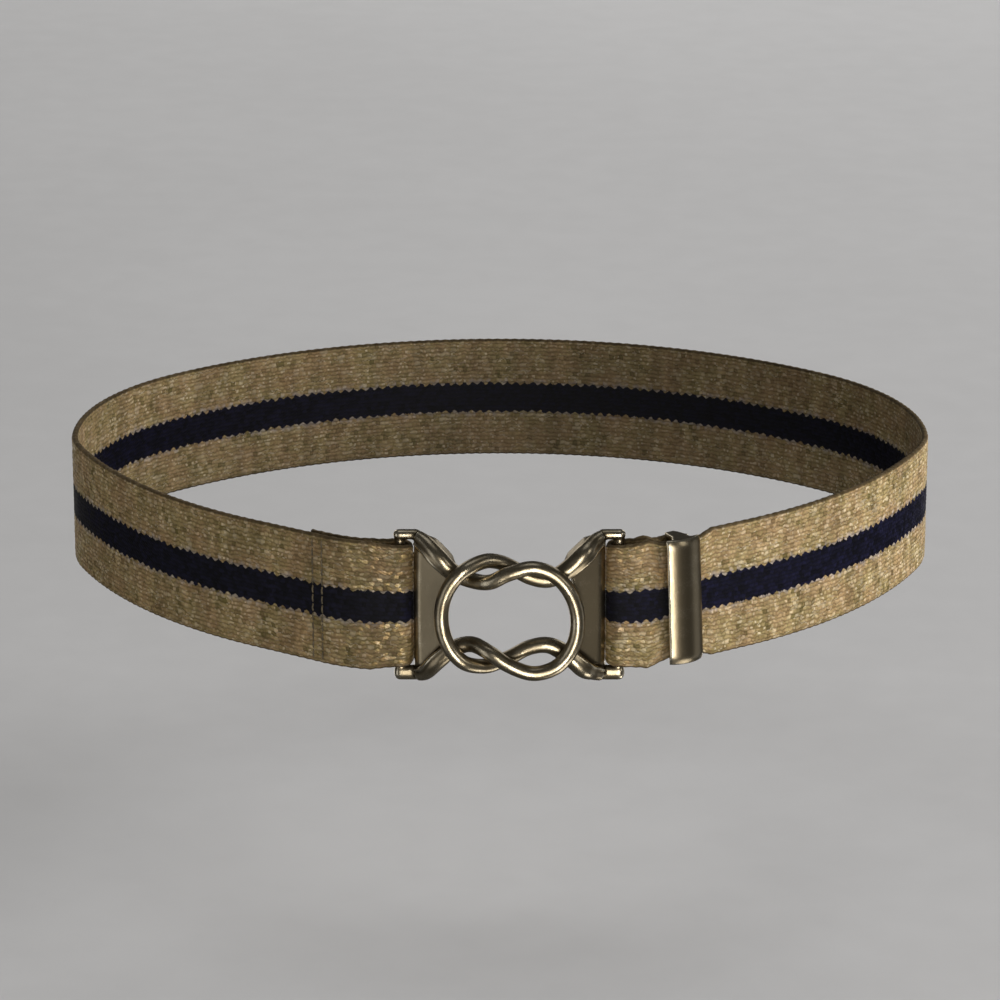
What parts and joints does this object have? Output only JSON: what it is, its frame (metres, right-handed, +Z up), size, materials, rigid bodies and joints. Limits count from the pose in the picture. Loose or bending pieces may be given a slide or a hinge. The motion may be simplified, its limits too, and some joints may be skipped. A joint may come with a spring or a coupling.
{
  "type": "stretch belt",
  "caption": "Wide elastic webbing belt with a middle stripe, closed by a two-piece hooked knot clasp and adjusted by a metal slider, in its worn oval form.",
  "frame": {"origin": "middle of the waist opening, half way up the webbing", "axes": "+X to the right as seen from the front, -Y out of the front where the clasp is, +Z up along the wearer's body"},
  "size_m": [0.24, 0.1917, 0.0428],
  "materials": {
    "webbing": "woven with metallic thread",
    "antique_brass": "antiqued, worn bright on the edges"
  },
  "bodies": {
    "root": {"strap": "webbing", "clasp_half_left": "antique_brass", "clasp_half_right": "antique_brass", "slider": "antique_brass"}
  },
  "joints": []
}
